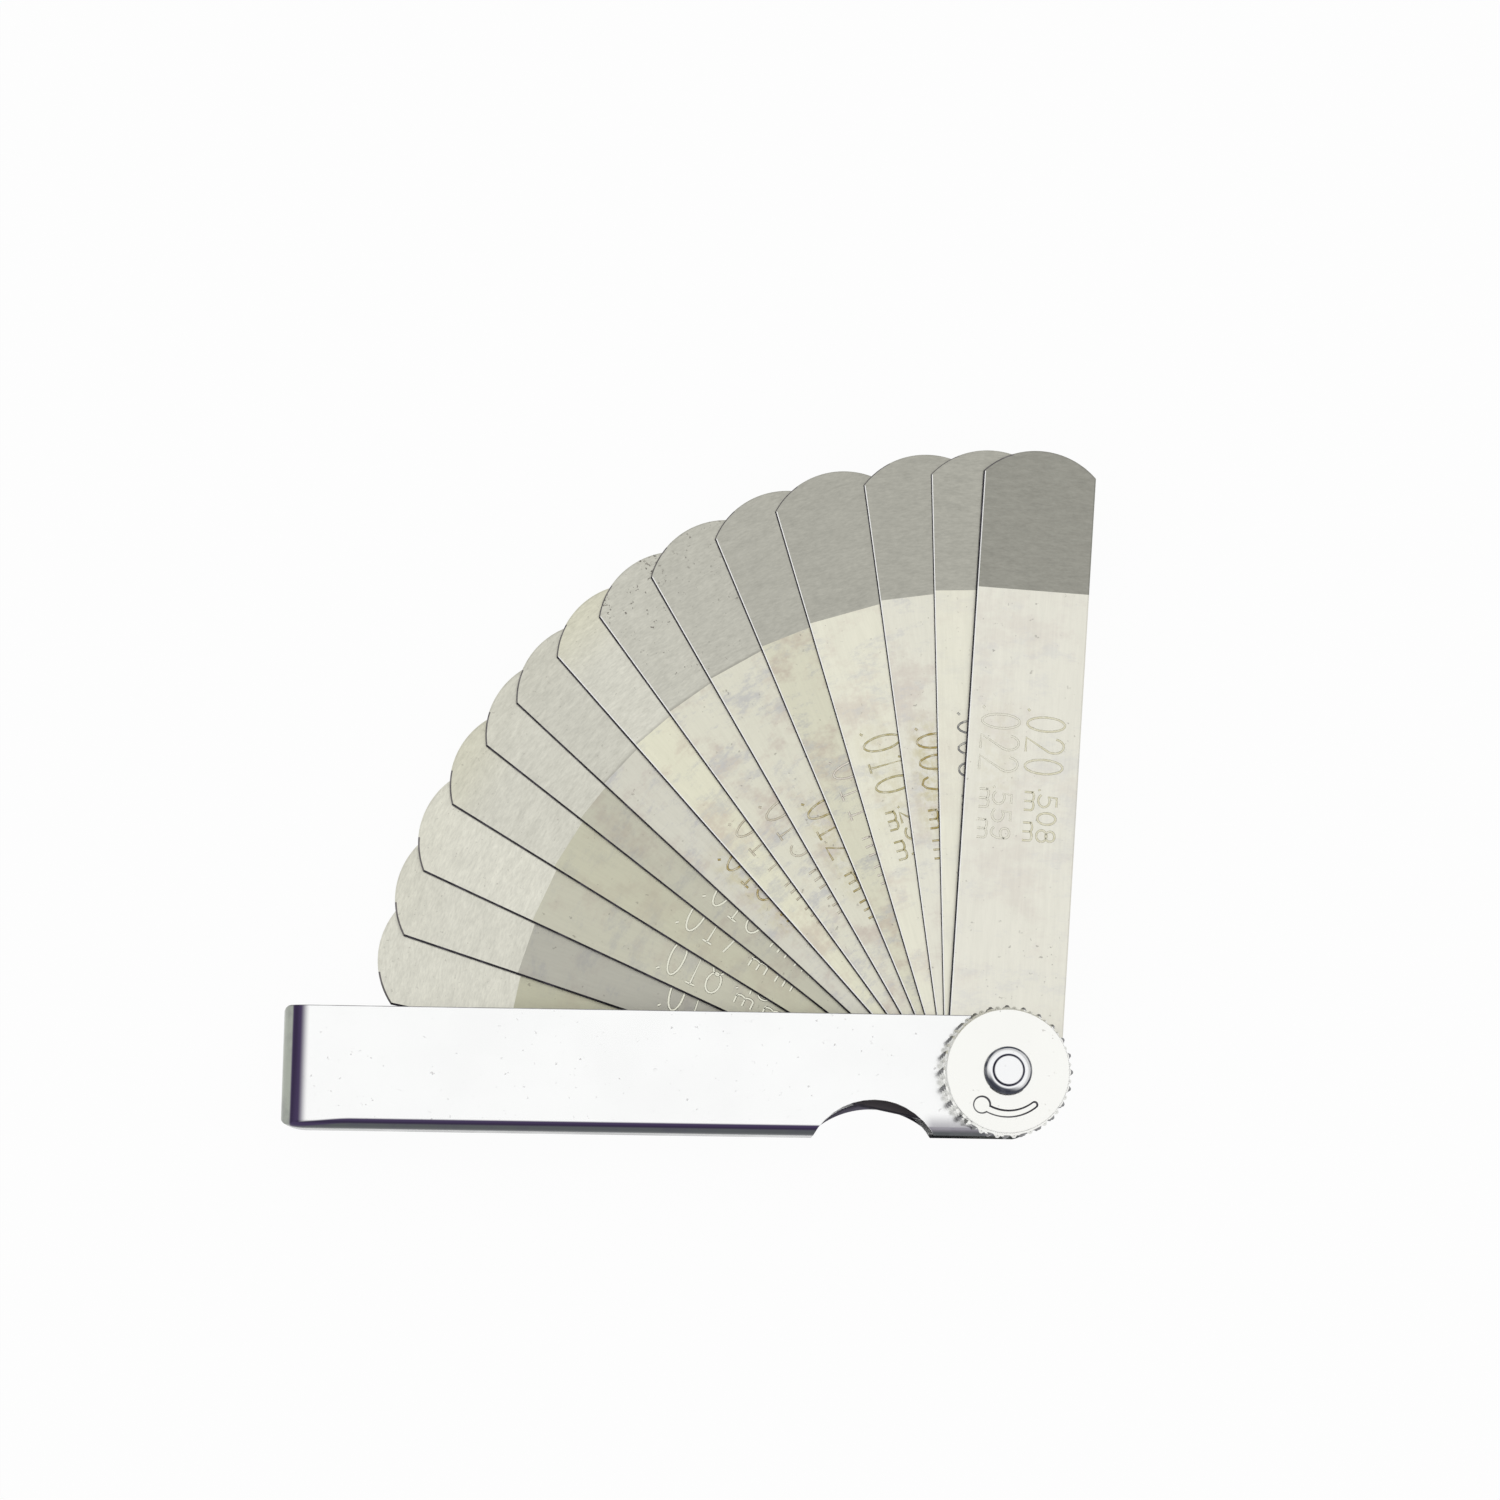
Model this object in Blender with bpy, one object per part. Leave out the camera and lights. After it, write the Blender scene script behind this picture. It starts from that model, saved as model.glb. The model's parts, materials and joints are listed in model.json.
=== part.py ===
# Folding feeler gauge: fourteen thickness blades fanned out on one pivot screw,
# a folded sheet case that they close into, and a knurled lock nut that clamps the stack.
# The gauge lies on its back. The pivot axis is +Z through the origin, the underside of
# the screw head is z = 0, the case runs towards -X and the fan opens towards +Y.
import math

import bmesh
import bpy
from mathutils import Vector

MM = 0.001
THOU = 0.0254 * MM

# Blades, listed from the back of the stack to the front
BLADE_WIDTH = 12.7 * MM
BLADE_REACH = 70.4 * MM
TIP_RADIUS = 8.8 * MM
BLADE_THOU = (22, 19, 18, 17, 16, 15, 14, 13, 12, 11, 10, 9, 8, 20)
FAN_DEG = (168.7, 162.2, 155.9, 149.1, 142.7, 137.8, 132.0, 126.5, 120.3, 113.2, 106.9, 98.1, 91.6, 86.6)
LEAF_GAP = 0.04 * MM
TIP_STEPS = 12
HEEL_STEPS = 16

# Folded sheet case
WALL = 0.6 * MM
CASE_LENGTH = 79.0 * MM
OPEN_EDGE = 6.35 * MM
SPINE_CLEARANCE = 0.08 * MM
BEND_RADIUS = 1.3 * MM
INNER_BEND = 0.12 * MM  # coined nearly square, so the outermost blades lie flat in the case
END_BEND = 2.6 * MM
CORNER_RADIUS = 0.9 * MM
SPINE_STOP = 8.0 * MM
NOTCH_PLACE = 14.1 * MM
NOTCH_RADIUS = 7.6 * MM
NOTCH_DEPTH = 4.0 * MM
BEND_STEPS = 7
END_STEPS = 20
NOTCH_STEPS = 40

# Pivot screw
SHANK_RADIUS = 2.38 * MM
RUNNING_FIT = 0.07 * MM
SEAT_GAP = 0.05 * MM
HEAD_RADIUS = 6.0 * MM
HEAD_HEIGHT = 1.2 * MM
HEAD_CHAMFER = 0.3 * MM
NECK_RADIUS = 3.2 * MM
NECK_FLAT = 2.6 * MM
PEEN_RADIUS = 2.7 * MM
PEEN_HEIGHT = 0.5 * MM
PEEN_BEVEL = 0.2 * MM
BUTTON_RADIUS = 1.6 * MM
BUTTON_HEIGHT = 0.25 * MM
ROUND_STEPS = 32

# Knurled lock nut
NUT_HEIGHT = 5.0 * MM
NUT_LIFT = 0.3 * MM
NUT_FACE_RADIUS = 6.55 * MM
NUT_EDGE = 0.55 * MM
KNURL_PEAK = 7.2 * MM
KNURL_DEPTH = 0.5 * MM
KNURL_ROUND = 24
KNURL_ROWS = 4

# Turn mark sunk in the nut face
MARK_CIRCLE = 4.65 * MM
MARK_DEPTH = 0.45 * MM
MARK_HEAD_RADIUS = 1.0 * MM
MARK_HEAD_DEG = 233.0
MARK_TAIL_DEG = 313.0
MARK_WIDE = 0.95 * MM
MARK_NARROW = 0.6 * MM
MARK_STEPS = 14

# Heights that follow from the stack
SPINE_FACE = BLADE_WIDTH / 2 + SPINE_CLEARANCE + WALL
CASE_BACK = HEAD_HEIGHT + SEAT_GAP
STACK_START = CASE_BACK + WALL + LEAF_GAP
STACK_HEIGHT = sum(BLADE_THOU) * THOU + len(BLADE_THOU) * LEAF_GAP
CASE_FRONT = STACK_START + STACK_HEIGHT + WALL
NUT_BACK = CASE_FRONT + SEAT_GAP
NUT_FRONT = NUT_BACK + NUT_HEIGHT
PEEN_BACK = NUT_FRONT + NUT_LIFT
BORE_RADIUS = SHANK_RADIUS + RUNNING_FIT
OVERCUT = 2.0 * MM


def clear_scene():
    for obj in list(bpy.data.objects):
        bpy.data.objects.remove(obj)


def steel(name, colour, roughness):
    material = bpy.data.materials.new(name)
    material.use_nodes = True
    shader = material.node_tree.nodes["Principled BSDF"]
    shader.inputs["Base Color"].default_value = (*colour, 1.0)
    shader.inputs["Metallic"].default_value = 1.0
    shader.inputs["Roughness"].default_value = roughness
    return material


def make_object(name, bm, material=None):
    """A named object from the bmesh, faces pointing out, with smooth round surfaces."""
    bmesh.ops.recalc_face_normals(bm, faces=bm.faces)
    mesh = bpy.data.meshes.new(name)
    bm.to_mesh(mesh)
    bm.free()
    mesh.shade_smooth()
    mesh.set_sharp_from_angle(angle=math.radians(35))
    obj = bpy.data.objects.new(name, mesh)
    bpy.context.scene.collection.objects.link(obj)
    if material:
        mesh.materials.append(material)
    return obj


def as_helper(obj):
    obj.hide_render = True
    obj.display_type = "WIRE"
    return obj


def arc(centre, radius, start_deg, end_deg, steps):
    """Points along a circular arc, both ends included."""
    points = []
    for i in range(steps + 1):
        angle = math.radians(start_deg + (end_deg - start_deg) * i / steps)
        points.append((centre[0] + radius * math.cos(angle), centre[1] + radius * math.sin(angle)))
    return points


def prism(name, outline, low, high, place):
    """A closed helper solid: an outline swept from low to high, put in space by place(u, v, w)."""
    bm = bmesh.new()
    base = bm.faces.new([bm.verts.new(place(u, v, low)) for u, v in outline])
    moved = bmesh.ops.extrude_face_region(bm, geom=[base])["geom"]
    top = [item for item in moved if isinstance(item, bmesh.types.BMVert)]
    sweep = Vector(place(0, 0, high)) - Vector(place(0, 0, low))
    bmesh.ops.translate(bm, verts=top, vec=sweep)
    return as_helper(make_object(name, bm))


def along_x(u, v, w):
    return (w, u, v)


def along_y(u, v, w):
    return (u, w, v)


def along_z(u, v, w):
    return (u, v, w)


def boolean(obj, other, operation):
    modifier = obj.modifiers.new(f"{operation} {other.name}".title(), "BOOLEAN")
    modifier.operation = operation
    modifier.solver = "EXACT"
    modifier.object = other


def bent_channel(near, low, high, radius, reach):
    """Channel section: closed at near with two bends of the given radius, square at reach."""
    lower = arc((near + radius, low + radius), radius, 180, 270, BEND_STEPS)
    upper = arc((near + radius, high - radius), radius, 90, 180, BEND_STEPS)
    return [*lower, (reach, low), (reach, high), *upper]


def folded_block(name, inset, spine_radius, end_radius, reach_x, reach_y):
    """The case's outer form, or its hollow when inset by the wall: spine bends crossed with end bends."""
    low, high = CASE_BACK + inset, CASE_FRONT - inset
    spine = bent_channel(inset - SPINE_FACE, low, high, spine_radius, reach_y)
    end = bent_channel(inset - CASE_LENGTH, low, high, end_radius, reach_x)
    block = prism(name, spine, -CASE_LENGTH - OVERCUT, reach_x + OVERCUT, along_x)
    crossed = prism(f"{name}_end_bend", end, -SPINE_FACE - OVERCUT, reach_y + OVERCUT, along_y)
    boolean(block, crossed, "INTERSECT")
    return block


def plate_outline():
    """Plan of the case: two small corners at the end wall, one round end about the pivot."""
    end_radius = (OPEN_EDGE + SPINE_FACE) / 2
    end_centre = (0, OPEN_EDGE - end_radius)
    left = CORNER_RADIUS - CASE_LENGTH
    top_corner = arc((left, OPEN_EDGE - CORNER_RADIUS), CORNER_RADIUS, 90, 180, BEND_STEPS)
    low_corner = arc((left, CORNER_RADIUS - SPINE_FACE), CORNER_RADIUS, 180, 270, BEND_STEPS)
    return [*top_corner, *low_corner, *arc(end_centre, end_radius, -90, 90, END_STEPS)]


def make_case(material):
    reach_x = BLADE_WIDTH
    reach_y = BLADE_WIDTH
    case = folded_block("case", 0, BEND_RADIUS, END_BEND, reach_x, reach_y)
    case.hide_render = False
    case.display_type = "TEXTURED"
    case.data.materials.append(material)
    below, above = CASE_BACK - OVERCUT, CASE_FRONT + OVERCUT
    boolean(case, prism("case_plan", plate_outline(), below, above, along_z), "INTERSECT")
    inner_end = END_BEND - WALL
    hollow = folded_block("case_hollow", WALL, INNER_BEND, inner_end, reach_x + OVERCUT, reach_y + OVERCUT)
    boolean(case, hollow, "DIFFERENCE")
    notch_centre = (-NOTCH_PLACE, NOTCH_DEPTH - SPINE_FACE - NOTCH_RADIUS)
    notch = arc(notch_centre, NOTCH_RADIUS, 0, 360, NOTCH_STEPS)[:-1]
    boolean(case, prism("thumb_notch", notch, below, above, along_z), "DIFFERENCE")
    outside = -SPINE_FACE - OVERCUT
    mouth = [(-SPINE_STOP, outside), (reach_x, outside), (reach_x, 0), (-SPINE_STOP, 0)]
    mouth_cut = prism("spine_stop", mouth, CASE_BACK + WALL, CASE_FRONT - WALL, along_z)
    boolean(case, mouth_cut, "DIFFERENCE")
    middle = (CASE_BACK + CASE_FRONT) / 2
    front_hole = prism("front_hole", round_section(BORE_RADIUS), middle, above, along_z)
    boolean(case, front_hole, "DIFFERENCE")
    neck_hole = round_section(NECK_RADIUS + RUNNING_FIT, NECK_FLAT + RUNNING_FIT)
    boolean(case, prism("back_hole", neck_hole, below, middle, along_z), "DIFFERENCE")
    return case


def round_section(radius, flat=None):
    """Circle, or a circle with two flats, as one ring of points."""
    ring = arc((0, 0), radius, 0, 360, ROUND_STEPS)[:-1]
    if flat is None:
        return ring
    return [(x, max(-flat, min(flat, y))) for x, y in ring]


def blade_outline():
    """Straight sides, an arc across the tip, and a heel that is round about the pivot."""
    half = BLADE_WIDTH / 2
    tip_deg = math.degrees(math.asin(half / TIP_RADIUS))
    tip = arc((BLADE_REACH - TIP_RADIUS, 0), TIP_RADIUS, -tip_deg, tip_deg, TIP_STEPS)
    return [*tip, *arc((0, 0), half, 90, 270, HEEL_STEPS)]


def add_loop(bm, points):
    verts = [bm.verts.new((x, y, 0)) for x, y in points]
    return [bm.edges.new((verts[i - 1], verts[i])) for i in range(len(verts))]


def make_blade(number, thickness, height, fan_deg, material):
    bm = bmesh.new()
    edges = add_loop(bm, blade_outline()) + add_loop(bm, round_section(BORE_RADIUS))
    bmesh.ops.triangle_fill(bm, edges=edges, use_beauty=True)
    moved = bmesh.ops.extrude_face_region(bm, geom=list(bm.faces))["geom"]
    top = [item for item in moved if isinstance(item, bmesh.types.BMVert)]
    bmesh.ops.translate(bm, verts=top, vec=(0, 0, thickness))
    blade = make_object(f"blade_{number:02d}", bm, material)
    blade.location.z = height
    blade.rotation_euler.z = math.radians(fan_deg)
    return blade


def make_stack(material):
    height = STACK_START
    for i, (thou, fan_deg) in enumerate(zip(BLADE_THOU, FAN_DEG)):
        make_blade(i + 1, thou * THOU, height, fan_deg, material)
        height += thou * THOU + LEAF_GAP


def stacked_rings(bm, rings):
    """Closed solid through rings of points at rising heights, with a flat cap at each end."""
    loops = [[bm.verts.new((x, y, z)) for x, y in section] for z, section in rings]
    for low, high in zip(loops, loops[1:]):
        for i in range(len(low)):
            bm.faces.new((low[i - 1], low[i], high[i], high[i - 1]))
    bm.faces.new(loops[0])
    bm.faces.new(loops[-1])


def make_screw(material):
    """Flat head, two-flat neck that can't turn in the back plate, plain shank and peened end."""
    neck = round_section(NECK_RADIUS, NECK_FLAT)
    neck_top = CASE_BACK + WALL
    peen_top = PEEN_BACK + PEEN_HEIGHT
    shank = round_section(SHANK_RADIUS)
    rings = [
        (0, round_section(HEAD_RADIUS - HEAD_CHAMFER)),
        (HEAD_CHAMFER, round_section(HEAD_RADIUS)),
        (HEAD_HEIGHT, round_section(HEAD_RADIUS)),
        (HEAD_HEIGHT, neck),
        (neck_top, neck),
        (neck_top, shank),
        (PEEN_BACK, shank),
        (PEEN_BACK, round_section(PEEN_RADIUS)),
        (peen_top - PEEN_BEVEL, round_section(PEEN_RADIUS)),
        (peen_top, round_section(PEEN_RADIUS - PEEN_BEVEL)),
        (peen_top, round_section(BUTTON_RADIUS)),
        (peen_top + BUTTON_HEIGHT, round_section(BUTTON_RADIUS)),
    ]
    bm = bmesh.new()
    stacked_rings(bm, rings)
    return make_object("pivot_screw", bm, material)


def knurl_ring(bm, height, row):
    """One row of the diamond lattice: groove crossings and diamond peaks take turns round it."""
    columns = 2 * KNURL_ROUND
    ring = []
    for i in range(columns):
        radius = KNURL_PEAK if (i + row) % 2 else KNURL_PEAK - KNURL_DEPTH
        angle = math.pi * i / KNURL_ROUND
        ring.append(bm.verts.new((radius * math.cos(angle), radius * math.sin(angle), height)))
    return ring


def plain_ring(bm, height, radius):
    points = arc((0, 0), radius, 0, 360, 2 * KNURL_ROUND)[:-1]
    return [bm.verts.new((x, y, height)) for x, y in points]


def make_nut(material):
    bm = bmesh.new()
    band = NUT_HEIGHT - 2 * NUT_EDGE
    inside = [plain_ring(bm, NUT_BACK, BORE_RADIUS), plain_ring(bm, NUT_BACK, NUT_FACE_RADIUS)]
    knurl = []
    for row in range(KNURL_ROWS + 1):
        knurl.append(knurl_ring(bm, NUT_BACK + NUT_EDGE + band * row / KNURL_ROWS, row))
    outside = [plain_ring(bm, NUT_FRONT, NUT_FACE_RADIUS), plain_ring(bm, NUT_FRONT, BORE_RADIUS)]
    loops = [*inside, *knurl, *outside, inside[0]]
    for level, (low, high) in enumerate(zip(loops, loops[1:])):
        for i in range(len(low)):
            corners = (low[i - 1], low[i], high[i], high[i - 1])
            # The valley of each lattice cell joins its two groove crossings
            turn = (i + level - len(inside)) % 2
            bm.faces.new((corners[turn], corners[turn + 1], corners[turn + 2]))
            bm.faces.new((corners[turn], corners[turn + 2], corners[turn - 1]))
    nut = make_object("lock_nut", bm, material)
    cut_turn_mark(nut)
    return nut


def cut_turn_mark(nut):
    """Keyhole arc in the nut face: a round head and a tail that narrows along a circle."""
    turn = math.radians(MARK_HEAD_DEG)
    head_centre = (MARK_CIRCLE * math.cos(turn), MARK_CIRCLE * math.sin(turn))
    outer, inner = [], []
    for i in range(MARK_STEPS + 1):
        share = i / MARK_STEPS
        angle = math.radians(MARK_HEAD_DEG + (MARK_TAIL_DEG - MARK_HEAD_DEG) * share)
        half = (MARK_WIDE + (MARK_NARROW - MARK_WIDE) * share) / 2
        outer.append(((MARK_CIRCLE + half) * math.cos(angle), (MARK_CIRCLE + half) * math.sin(angle)))
        inner.append(((MARK_CIRCLE - half) * math.cos(angle), (MARK_CIRCLE - half) * math.sin(angle)))
    above = NUT_FRONT + OVERCUT
    head = arc(head_centre, MARK_HEAD_RADIUS, 0, 360, ROUND_STEPS // 2)[:-1]
    tail = outer + inner[::-1]
    boolean(nut, prism("mark_head", head, NUT_FRONT - MARK_DEPTH, above, along_z), "DIFFERENCE")
    boolean(nut, prism("mark_tail", tail, NUT_FRONT - MARK_DEPTH, above, along_z), "DIFFERENCE")


clear_scene()
make_case(steel("plated sheet", (0.86, 0.86, 0.85), 0.22))
make_stack(steel("blade steel", (0.72, 0.71, 0.67), 0.32))
make_screw(steel("screw steel", (0.80, 0.80, 0.78), 0.28))
make_nut(steel("plated nut", (0.84, 0.83, 0.79), 0.25))
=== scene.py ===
import json
import math

import bmesh
import bpy
from mathutils import Matrix, Vector


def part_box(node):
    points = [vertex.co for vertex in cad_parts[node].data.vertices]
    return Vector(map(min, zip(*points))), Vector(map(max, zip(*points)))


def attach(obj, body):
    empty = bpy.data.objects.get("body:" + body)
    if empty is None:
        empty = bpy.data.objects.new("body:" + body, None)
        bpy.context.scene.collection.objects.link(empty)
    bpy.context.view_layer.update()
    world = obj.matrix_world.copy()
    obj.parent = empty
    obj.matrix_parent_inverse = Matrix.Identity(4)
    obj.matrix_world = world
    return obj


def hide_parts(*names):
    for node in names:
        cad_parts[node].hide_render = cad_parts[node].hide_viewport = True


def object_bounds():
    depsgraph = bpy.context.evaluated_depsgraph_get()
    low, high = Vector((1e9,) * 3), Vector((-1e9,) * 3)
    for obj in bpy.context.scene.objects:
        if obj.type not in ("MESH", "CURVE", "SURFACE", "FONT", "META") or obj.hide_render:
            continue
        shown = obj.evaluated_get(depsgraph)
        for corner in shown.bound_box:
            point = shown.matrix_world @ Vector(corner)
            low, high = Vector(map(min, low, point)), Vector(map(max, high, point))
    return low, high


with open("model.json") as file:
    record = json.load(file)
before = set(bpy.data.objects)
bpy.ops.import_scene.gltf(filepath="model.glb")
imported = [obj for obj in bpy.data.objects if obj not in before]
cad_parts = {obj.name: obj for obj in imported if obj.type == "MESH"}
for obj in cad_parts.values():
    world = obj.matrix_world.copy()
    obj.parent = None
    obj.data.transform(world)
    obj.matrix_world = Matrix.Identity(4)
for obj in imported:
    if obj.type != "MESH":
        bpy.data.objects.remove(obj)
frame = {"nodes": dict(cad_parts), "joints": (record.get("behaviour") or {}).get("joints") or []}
cadLow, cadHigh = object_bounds()
mm = 0.001
inch = 25.4 * mm
weldGap = 0.001 * mm
sharpDeg = 40.0  # a sharper turn than this counts as an edge
uvPerMetre = 100.0  # one UV unit is 10 mm of blade
print("frame loaded:", len(frame["nodes"]), "nodes")


# Small helpers for meshes

def newObject(name, bm):
    mesh = bpy.data.meshes.new(name)
    bm.to_mesh(mesh)
    bm.free()
    obj = bpy.data.objects.new(name, mesh)
    bpy.context.scene.collection.objects.link(obj)
    return obj


def bakeModifiers(obj):
    # swaps the object's mesh for what its modifiers give, as plain mesh data
    graph = bpy.context.evaluated_depsgraph_get()
    shown = obj.evaluated_get(graph)
    done = bpy.data.meshes.new_from_object(shown, preserve_all_data_layers=True, depsgraph=graph)
    obj.modifiers.clear()
    obj.data = done


def softenEdges(obj, width):
    bevel = obj.modifiers.new("soft edge", "BEVEL")
    bevel.width = width
    bevel.segments = 3
    bevel.limit_method = "ANGLE"
    bevel.angle_limit = math.radians(sharpDeg)
    bevel.use_clamp_overlap = True


def evenNormals(obj):
    obj.data.shade_smooth()
    normals = obj.modifiers.new("even normals", "WEIGHTED_NORMAL")
    normals.keep_sharp = True
    normals.weight = 100


def copyOfNode(node, name):
    # a merged copy of a CAD node, with its flat faces whole again
    bm = bmesh.new()
    bm.from_mesh(frame["nodes"][node].data)
    bmesh.ops.remove_doubles(bm, verts=bm.verts, dist=weldGap)
    flat = math.radians(0.5)
    bmesh.ops.dissolve_limit(bm, angle_limit=flat, verts=bm.verts, edges=bm.edges, delimit=set())
    return newObject(name, bm)


def seat(obj, body, slotName, *nodes):
    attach(obj, body)
    if nodes:
        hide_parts(*nodes)


def arcPoints(centre, radiusX, radiusY, startDeg, endDeg, steps):
    points = []
    for i in range(steps + 1):
        angle = math.radians(startDeg + (endDeg - startDeg) * i / steps)
        points.append((centre[0] + radiusX * math.cos(angle), centre[1] + radiusY * math.sin(angle)))
    return points


# Small helpers for node trees

def addNode(tree, kind, **values):
    node = tree.nodes.new(kind)
    for name, value in values.items():
        setattr(node, name, value)
    return node


def feed(tree, socket, value):
    # a link from another socket, or a constant
    if isinstance(value, bpy.types.NodeSocket):
        tree.links.new(value, socket)
    else:
        socket.default_value = value


def wired(tree, kind, inputs, **values):
    # a new node with its inputs linked or set
    node = addNode(tree, kind, **values)
    for name, value in inputs.items():
        feed(tree, node.inputs[name], value)
    return node.outputs


def maths(tree, operation, first, second=0.0):
    return wired(tree, "ShaderNodeMath", {0: first, 1: second}, operation=operation)[0]


def product(tree, first, *others):
    result = first
    for value in others:
        result = maths(tree, "MULTIPLY", result, value)
    return result


def ramp(tree, value, low, high, toLow=0.0, toHigh=1.0):
    inputs = {"Value": value, "From Min": low, "From Max": high, "To Min": toLow, "To Max": toHigh}
    return wired(tree, "ShaderNodeMapRange", inputs, interpolation_type="SMOOTHSTEP")["Result"]


def mixColour(tree, factor, first, second, blend="MIX"):
    node = addNode(tree, "ShaderNodeMix", data_type="RGBA", blend_type=blend)
    sockets = [s for s in node.inputs if s.enabled]
    for socket, value in zip(sockets, (factor, first, second)):
        feed(tree, socket, value)
    return [s for s in node.outputs if s.enabled][0]


def mixValue(tree, factor, first, second):
    return wired(tree, "ShaderNodeMix", {0: factor, 2: first, 3: second}, data_type="FLOAT")[0]


def noise(tree, vector, scale, detail, roughness):
    inputs = {"Vector": vector, "Scale": scale, "Detail": detail, "Roughness": roughness}
    return wired(tree, "ShaderNodeTexNoise", inputs)["Fac"]


def vectorMaths(tree, operation, first, second=(0.0, 0.0, 0.0)):
    return wired(tree, "ShaderNodeVectorMath", {0: first, 1: second}, operation=operation)


def stretched(tree, vector, scale):
    return vectorMaths(tree, "MULTIPLY", vector, scale)["Vector"]


def axesOf(tree, vector):
    return wired(tree, "ShaderNodeSeparateXYZ", {0: vector})


def joined(tree, x=0.0, y=0.0, z=0.0):
    return wired(tree, "ShaderNodeCombineXYZ", {"X": x, "Y": y, "Z": z})[0]


def rgb(colour):
    return (*colour, 1.0)


def toned(colour, tone, cast=1.0):
    # a cast under one leaves the colour yellower
    red, green, blue = colour
    return rgb((red * tone, green * tone, blue * tone * cast))


def newGroup(name, inputs, outputs):
    tree = bpy.data.node_groups.new(name, "ShaderNodeTree")
    for label, value in inputs.items():
        kind = "NodeSocketFloat" if isinstance(value, float) else "NodeSocketVector"
        tree.interface.new_socket(label, in_out="INPUT", socket_type=kind).default_value = value
    for label in outputs:
        tree.interface.new_socket(label, in_out="OUTPUT", socket_type="NodeSocketFloat")
    return tree, addNode(tree, "NodeGroupInput").outputs, addNode(tree, "NodeGroupOutput").inputs


# Shared surface effects; noise is given as scale, detail and roughness, a ramp as its start and end

grain = {
    "fine": (9.0, 5.0, 0.65),
    "coarse": (2.6, 3.0, 0.55),
    "fineShare": 0.65,
    "swing": 2.6,
    "speckDetail": (2.0, 0.6),
    "speckRamp": (0.66, 0.74),
    "patchStretch": (0.31, 0.31, 0.31),
    "patchDetail": (1.0, 0.5),
    "patchRamp": (0.42, 0.62),
    "Warm": {"stretch": (1.3, 0.9, 1.0), "noise": (1.1, 5.0, 0.75), "ramp": (0.48, 0.66)},
    "Cool": {"stretch": (2.4, 1.1, 1.0), "noise": (1.3, 6.0, 0.8), "ramp": (0.50, 0.66)},
}


def makeStreakGroup():
    # brush lines: fine streaks with a few deeper ones; Stretch is small along the lines
    inputs = {"Vector": (0, 0, 0), "Stretch": (1, 1, 1), "Contrast": 0.2}
    tree, into, out = newGroup("brush lines", inputs, ("Tone", "Height"))
    lines = stretched(tree, into["Vector"], into["Stretch"])
    fine = noise(tree, lines, *grain["fine"])
    coarse = noise(tree, lines, *grain["coarse"])
    both = mixValue(tree, grain["fineShare"], coarse, fine)
    swing = product(tree, maths(tree, "SUBTRACT", both, 0.5), grain["swing"], into["Contrast"])
    tree.links.new(maths(tree, "ADD", swing, 1.0), out["Tone"])
    tree.links.new(both, out["Height"])
    return tree


def makeSpeckGroup():
    # sparse small dark specks and pits; Crowd makes more and larger ones
    inputs = {"Vector": (0, 0, 0), "Scale": 40.0, "Amount": 0.5, "Crowd": 0.0}
    tree, into, out = newGroup("specks", inputs, ("Mask",))
    cells = noise(tree, into["Vector"], into["Scale"], *grain["speckDetail"])
    wide = stretched(tree, into["Vector"], grain["patchStretch"])
    patch = noise(tree, wide, into["Scale"], *grain["patchDetail"])
    dots = ramp(tree, maths(tree, "ADD", cells, into["Crowd"]), *grain["speckRamp"])
    where = ramp(tree, patch, *grain["patchRamp"])
    tree.links.new(product(tree, dots, where, into["Amount"]), out["Mask"])
    return tree


def makeStainGroup():
    # wide soft stains in two tints, broken up by ragged edges
    inputs = {"Vector": (0, 0, 0), "Amount": 0.5}
    tints = ("Warm", "Cool")
    tree, into, out = newGroup("stains", inputs, tints)
    for tint in tints:
        f = grain[tint]
        spread = noise(tree, stretched(tree, into["Vector"], f["stretch"]), *f["noise"])
        tree.links.new(product(tree, ramp(tree, spread, *f["ramp"]), into["Amount"]), out[tint])
    return tree


def makeRingGroup():
    # a ring about the pivot axis, between two radii, that places painted shade and reflection
    inputs = {"Vector": (0, 0, 0), "Inner": 1.0 * mm, "Outer": 2.0 * mm, "Soft": 0.05 * mm}
    tree, into, out = newGroup("ring shading", inputs, ("Mask",))
    inner, outer, soft = (into[label] for label in ("Inner", "Outer", "Soft"))
    radius = vectorMaths(tree, "LENGTH", stretched(tree, into["Vector"], (1.0, 1.0, 0.0)))["Value"]
    past = ramp(tree, radius, inner, maths(tree, "ADD", inner, soft))
    short = ramp(tree, radius, maths(tree, "SUBTRACT", outer, soft), outer, 1.0, 0.0)
    tree.links.new(product(tree, past, short), out["Mask"])
    return tree


streakGroup = makeStreakGroup()
speckGroup = makeSpeckGroup()
stainGroup = makeStainGroup()
ringGroup = makeRingGroup()
print("surface groups made")


def useGroup(tree, group, **inputs):
    return wired(tree, "ShaderNodeGroup", inputs, node_tree=group)


def ringMask(tree, place, radii, **soft):
    return useGroup(tree, ringGroup, Vector=place, Inner=radii[0], Outer=radii[1], **soft)["Mask"]


def newMetal(name, roughness, anisotropy=0.0, turn=0.0):
    material = bpy.data.materials.new(name)
    material.use_nodes = True
    tree = material.node_tree
    shader = tree.nodes["Principled BSDF"].inputs
    shader["Metallic"].default_value = 1.0
    shader["Roughness"].default_value = roughness
    shader["Anisotropic"].default_value = anisotropy
    shader["Anisotropic Rotation"].default_value = turn
    return material, tree, shader


def addBump(tree, shader, height, strength, distance):
    inputs = {"Strength": strength, "Distance": distance, "Height": height}
    tree.links.new(wired(tree, "ShaderNodeBump", inputs)["Normal"], shader["Normal"])


# Blades: ground tips, plated shanks and their thickness numbers

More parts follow.
